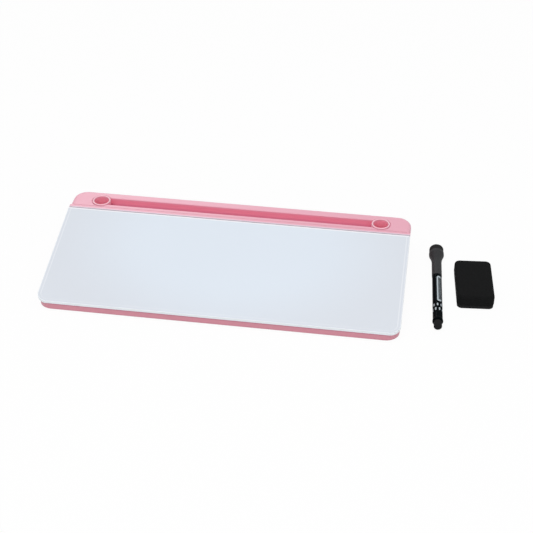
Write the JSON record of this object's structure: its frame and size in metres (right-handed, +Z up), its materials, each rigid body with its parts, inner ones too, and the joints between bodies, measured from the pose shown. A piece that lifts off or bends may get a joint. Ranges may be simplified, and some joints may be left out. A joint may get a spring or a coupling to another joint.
{
  "type": "desktop glass whiteboard",
  "caption": "Low wedge-shaped desk board with a sloping glass writing surface and a rear pen groove between pen cups, with a capped marker and an eraser beside it.",
  "frame": {"origin": "middle of the whole set's footprint, on the surface that it stands on", "axes": "+X along the board to the right, +Y from its low front edge to its high rear edge, +Z up"},
  "size_m": [0.4984, 0.1828, 0.0424],
  "materials": {
    "housing_plastic": "satin moulded ABS, pastel pink",
    "board_glass": "polished tempered glass with ground edges",
    "white_film": "plain white film under the glass",
    "foam_tape": "double-sided foam tape",
    "foot_rubber": "matt rubber",
    "screw_steel": "zinc-plated steel",
    "barrel_plastic": "glossy black moulded plastic",
    "cap_plastic": "satin charcoal moulded plastic",
    "felt": "pressed dark felt",
    "reservoir_fibre": "bonded fibre wick",
    "nib_fibre": "inked pressed fibre",
    "eraser_foam": "matt closed-cell foam"
  },
  "bodies": {
    "board": {"top_shell": "housing_plastic", "pen_tray": "housing_plastic", "bottom_cover": "housing_plastic", "pen_cup_left": "housing_plastic", "pen_cup_right": "housing_plastic", "glass_panel": "board_glass", "white_backing": "white_film", "tape_front": "foam_tape", "tape_middle": "foam_tape", "tape_rear": "foam_tape", "tape_left": "foam_tape", "tape_right": "foam_tape", "screw_1": "screw_steel", "screw_2": "screw_steel", "screw_3": "screw_steel", "screw_4": "screw_steel", "screw_5": "screw_steel", "screw_6": "screw_steel", "screw_7": "screw_steel", "screw_8": "screw_steel", "foot_1": "foot_rubber", "foot_2": "foot_rubber", "foot_3": "foot_rubber", "foot_4": "foot_rubber"},
    "marker": {"marker_end_plug": "cap_plastic", "marker_barrel": "barrel_plastic", "ink_reservoir": "reservoir_fibre", "nib_holder": "cap_plastic", "marker_nib": "nib_fibre"},
    "cap": {"marker_cap": "cap_plastic", "cap_felt": "felt"},
    "eraser": {"eraser_pad": "felt", "eraser_body": "eraser_foam"}
  },
  "joints": [
    {"name": "marker_lift", "type": "slide", "parent": "board", "child": "marker", "axis": [0, 0, 1], "range_m": [0, 0.12]},
    {"name": "cap_pull", "type": "slide", "parent": "marker", "child": "cap", "axis": [-0.0593, 0.998, 0.0217], "range_m": [0, 0.05]},
    {"name": "eraser_lift", "type": "slide", "parent": "board", "child": "eraser", "axis": [0, 0, 1], "range_m": [0, 0.1]}
  ]
}
